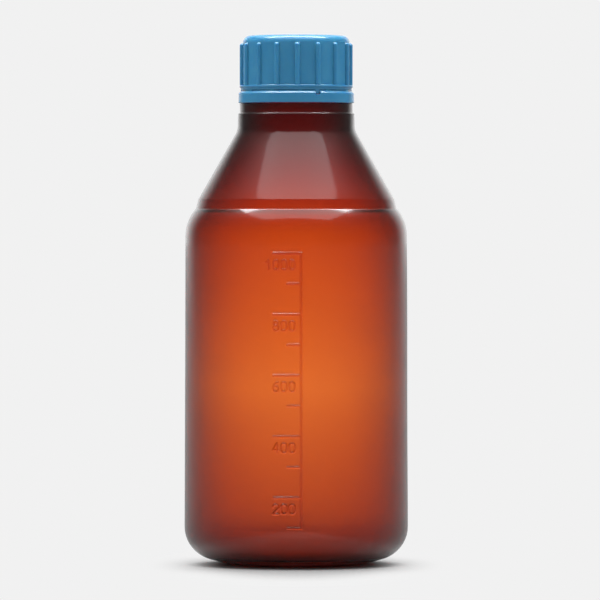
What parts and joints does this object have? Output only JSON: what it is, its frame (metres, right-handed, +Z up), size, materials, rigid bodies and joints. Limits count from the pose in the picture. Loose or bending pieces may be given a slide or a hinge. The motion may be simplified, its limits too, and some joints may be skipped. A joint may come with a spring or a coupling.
{
  "type": "reagent bottle",
  "caption": "Narrow-shouldered amber plastic bottle for liquid chemicals, with a raised volume scale and a ribbed tamper-evident screw cap.",
  "frame": {"origin": "centre of the base on the plane that the bottle stands on", "axes": "+Z up along the bottle's axis; -Y is the front, where the raised scale is; +X to the right seen from the front"},
  "size_m": [0.1004, 0.1007, 0.2379],
  "materials": {
    "amber_plastic": "translucent amber polyethylene, blow moulded, satin gloss",
    "blue_plastic": "moulded blue polypropylene, satin gloss",
    "liner_foam": "closed-cell white polyethylene foam",
    "liner_film": "smooth white fluoropolymer film"
  },
  "bodies": {
    "bottle": {"bottle": "amber_plastic"},
    "ring": {"tamper_ring": "blue_plastic", "tamper_bridges": "blue_plastic"},
    "liner": {"liner_core": "liner_foam", "liner_facing": "liner_film"},
    "cap": {"cap_shell": "blue_plastic"}
  },
  "joints": [
    {"name": "cap_lift", "type": "slide", "parent": "bottle", "child": "liner", "axis": [0, 0, 1], "range_m": [0, 0.0321]},
    {"name": "cap_turn", "type": "hinge", "parent": "liner", "child": "cap", "pos_m": [0, 0, 0.2379], "axis": [0, 0, 1], "range_deg": [0, 2880]},
    {"name": "ring_turn", "type": "hinge", "parent": "bottle", "child": "ring", "pos_m": [0, 0, 0.2103], "axis": [0, 0, 1], "range_deg": [0, 2880]}
  ],
  "couplings": [
    {"joint": "cap_lift", "follows": "cap_turn", "m_per_rad": 0.00063662},
    {"joint": "ring_turn", "follows": "cap_turn", "ratio": 1}
  ]
}
